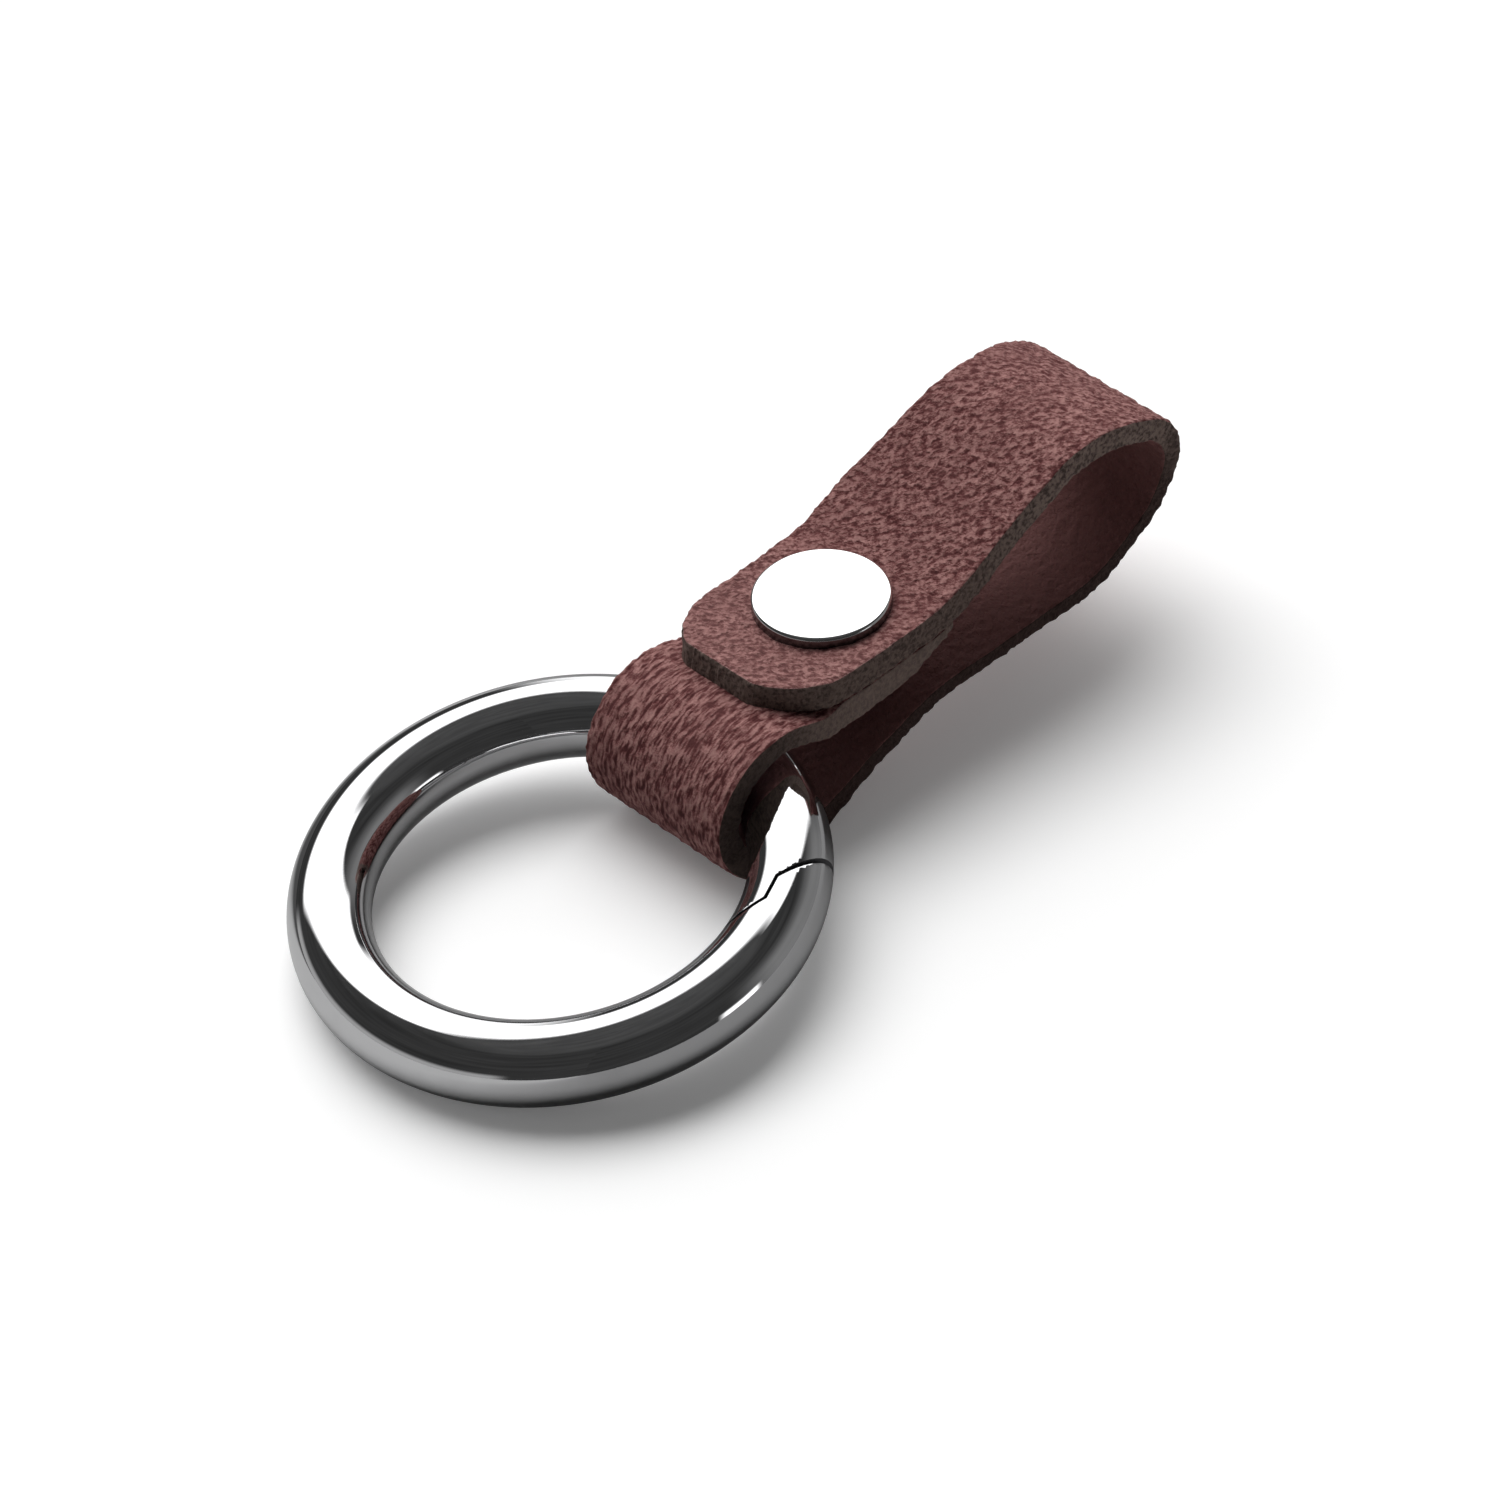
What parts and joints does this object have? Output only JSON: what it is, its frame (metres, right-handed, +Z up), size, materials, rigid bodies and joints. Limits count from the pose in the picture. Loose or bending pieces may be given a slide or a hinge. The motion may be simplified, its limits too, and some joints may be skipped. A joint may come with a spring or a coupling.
{
  "type": "car keychain",
  "caption": "Car keychain: a suede strap folded round a polished spring-gate ring, closed by a flat-capped rivet, with a belt loop at its far end.",
  "frame": {"origin": "middle of the keychain's box, on the surface that it lies on", "axes": "+X from the ring to the belt loop, +Y across the strap, +Z up, on the rivet cap's side"},
  "size_m": [0.0714, 0.0362, 0.018],
  "materials": {
    "ring_chrome": "mirror polished plating",
    "cap_chrome": "mirror polished plating",
    "inner_steel": "plain drawn steel, unpolished",
    "suede": "napped suede, dyed, with dark cut edges"
  },
  "bodies": {
    "ring": {"ring_body": "ring_chrome", "hinge_pin": "inner_steel", "gate_spring": "inner_steel"},
    "gate": {"gate": "ring_chrome"},
    "plunger": {"spring_plunger": "inner_steel"},
    "strap": {"strap": "suede", "rivet_cap": "cap_chrome", "rivet_socket": "inner_steel", "rivet_post": "inner_steel", "rivet_back_cap": "cap_chrome"}
  },
  "joints": [
    {"name": "gate_pivot", "type": "hinge", "parent": "ring", "child": "gate", "pos_m": [-0.00491, 0.00833, 0.00568], "axis": [0.1024, 0, -0.9947], "range_deg": [0, 22], "stiffness_Nm_per_rad": 0.06, "springref_deg": -20.05, "deforming": ["gate_spring"]},
    {"name": "plunger_slide", "type": "slide", "parent": "ring", "child": "plunger", "axis": [-0.5418, 0.8387, -0.0558], "range_m": [0, 0.000576], "deforming": ["gate_spring"]},
    {"name": "strap_swing", "type": "hinge", "parent": "gate", "child": "strap", "pos_m": [-0.00337, 0, 0.00584], "axis": [0, -1, 0], "range_deg": [0, 120]}
  ],
  "couplings": [
    {"joint": "plunger_slide", "follows": "gate_pivot", "m_per_rad": 0.0015}
  ]
}
